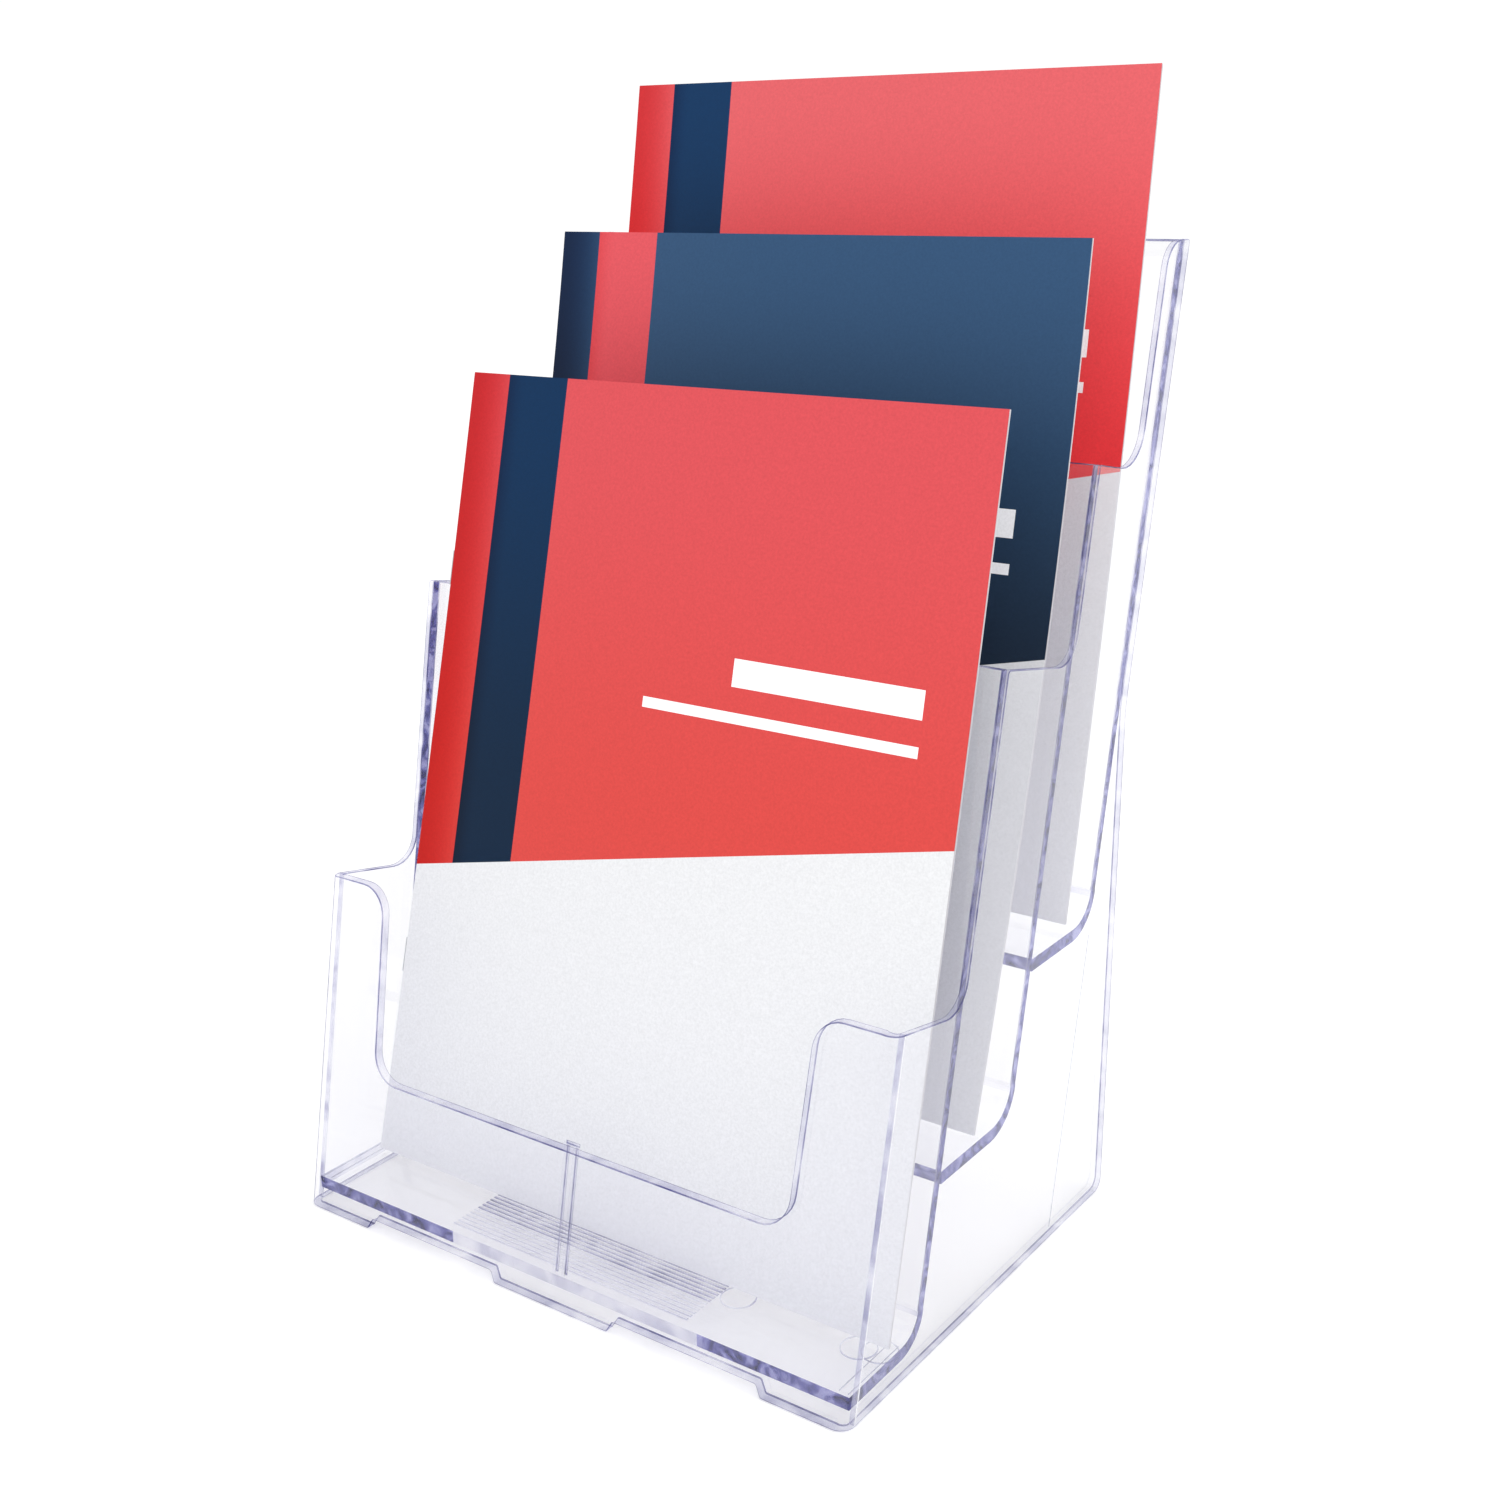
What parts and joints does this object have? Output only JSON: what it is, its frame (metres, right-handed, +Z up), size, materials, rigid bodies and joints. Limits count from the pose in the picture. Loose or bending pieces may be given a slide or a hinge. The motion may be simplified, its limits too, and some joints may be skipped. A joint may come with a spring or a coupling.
{
  "type": "brochure rack",
  "caption": "Tiered clear plastic countertop rack with leaning pockets, low-cut fronts and stepped sides, holding letter-size brochures upright.",
  "frame": {"origin": "on the ground under the centre of the whole object's bounding box, with the booklets in place", "axes": "+X to the right as seen from the front, -Y out of the front, +Z up"},
  "size_m": [0.241, 0.1904, 0.3774],
  "materials": {
    "clear_polystyrene": "clear, polished",
    "red_cover_stock": "coated, satin",
    "navy_cover_stock": "coated, satin",
    "page_paper": "uncoated, matt",
    "staple_wire": "galvanised, bright"
  },
  "bodies": {
    "rack": {"side_panel_left": "clear_polystyrene", "side_panel_right": "clear_polystyrene", "front_wall": "clear_polystyrene", "middle_wall": "clear_polystyrene", "upper_wall": "clear_polystyrene", "back_wall": "clear_polystyrene", "front_floor": "clear_polystyrene", "middle_floor": "clear_polystyrene", "upper_floor": "clear_polystyrene", "divider_rib_left": "clear_polystyrene", "divider_rib_right": "clear_polystyrene", "divider_rib_cap": "clear_polystyrene", "floor_grip": "clear_polystyrene"},
    "lower_booklet": {"lower_booklet_cover": "red_cover_stock", "lower_booklet_pages": "page_paper", "lower_booklet_foot_staple": "staple_wire", "lower_booklet_head_staple": "staple_wire"},
    "middle_booklet": {"middle_booklet_cover": "navy_cover_stock", "middle_booklet_pages": "page_paper", "middle_booklet_foot_staple": "staple_wire", "middle_booklet_head_staple": "staple_wire"},
    "upper_booklet": {"upper_booklet_cover": "red_cover_stock", "upper_booklet_pages": "page_paper", "upper_booklet_foot_staple": "staple_wire", "upper_booklet_head_staple": "staple_wire"}
  },
  "joints": [
    {"name": "lower_booklet_lift", "type": "slide", "parent": "rack", "child": "lower_booklet", "axis": [0, 0.1942, 0.981], "range_m": [0, 0.3]},
    {"name": "middle_booklet_lift", "type": "slide", "parent": "rack", "child": "middle_booklet", "axis": [0, 0.1942, 0.981], "range_m": [0, 0.3]},
    {"name": "upper_booklet_lift", "type": "slide", "parent": "rack", "child": "upper_booklet", "axis": [0, 0.1942, 0.981], "range_m": [0, 0.3]}
  ]
}
